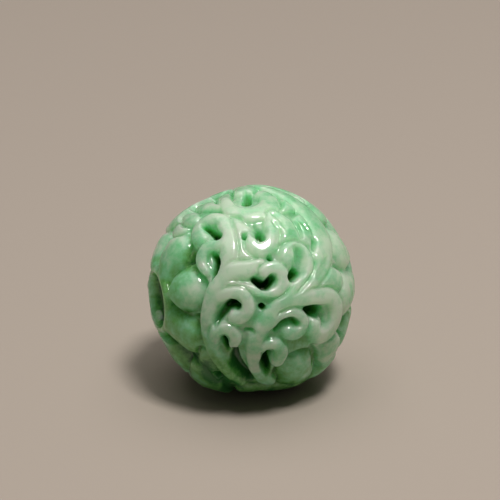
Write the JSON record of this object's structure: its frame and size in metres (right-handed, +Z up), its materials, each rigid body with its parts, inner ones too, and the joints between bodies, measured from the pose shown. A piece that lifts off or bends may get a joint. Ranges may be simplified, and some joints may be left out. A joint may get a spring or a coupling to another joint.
{
  "type": "jade bead",
  "caption": "Hollow round jade bead with pierced scroll and leaf carving and a domed flower round the cord hole at each end, for stringing or hanging.",
  "frame": {"origin": "centre of the small flat spot that the bead rests on", "axes": "+X along the cord bore, +Z up, -Y towards the side shown in the picture"},
  "size_m": [0.0172, 0.018, 0.0177],
  "materials": {
    "jade": "polished"
  },
  "bodies": {
    "root": {"bead": "jade"}
  },
  "joints": []
}
